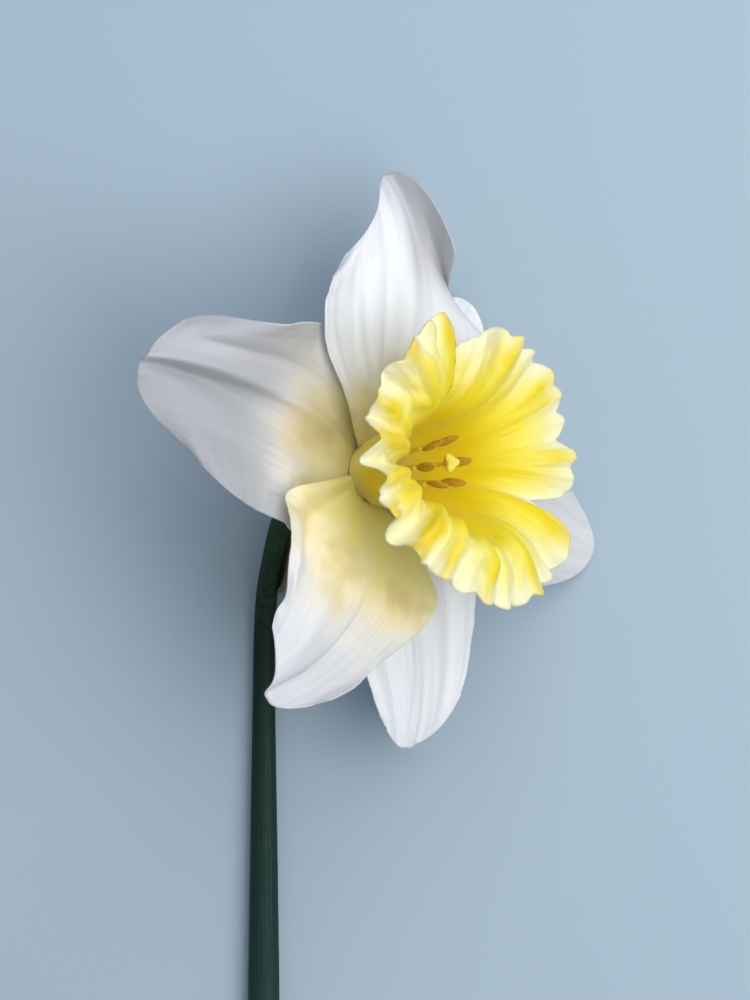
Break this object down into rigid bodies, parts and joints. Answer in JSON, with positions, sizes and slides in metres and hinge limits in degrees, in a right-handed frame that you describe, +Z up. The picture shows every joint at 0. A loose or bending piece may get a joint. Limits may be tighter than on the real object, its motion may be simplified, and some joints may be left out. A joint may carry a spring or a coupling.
{
  "type": "daffodil flower",
  "caption": "Single cut daffodil lying on its side: white tepals round a frilled yellow cup with stamens, and a green stem with a papery sheath.",
  "frame": {"origin": "middle of the bounding box in X and Y, at the surface the cut flower lies on", "axes": "+Z up from that surface, +Y along the straight stem towards the flower's top tepal, +X to the side the cup faces; the cup's axis rises 45 degrees from +X and turns 7 degrees towards +Y"},
  "size_m": [0.0824, 0.2121, 0.0606],
  "materials": {
    "petal": "soft satin white, living petal",
    "corona": "satin yellow, living petal tissue",
    "anther": "matt, covered in pollen",
    "filament": "smooth, slightly translucent",
    "tube": "smooth yellow green",
    "ovary": "smooth green",
    "stem": "smooth waxy green",
    "spathe": "dry papery brown"
  },
  "bodies": {
    "root": {"tepal_inner_top": "petal", "tepal_outer_upper_right": "petal", "tepal_inner_right": "petal", "tepal_outer_bottom": "petal", "tepal_inner_lower_left": "petal", "tepal_outer_left": "petal", "corona": "corona", "floral_tube": "tube", "ovary": "ovary", "pistil": "filament", "filament_1": "filament", "filament_2": "filament", "filament_3": "filament", "filament_4": "filament", "filament_5": "filament", "filament_6": "filament", "anther_1": "anther", "anther_2": "anther", "anther_3": "anther", "anther_4": "anther", "anther_5": "anther", "anther_6": "anther", "stem": "stem", "spathe": "spathe"}
  },
  "joints": []
}
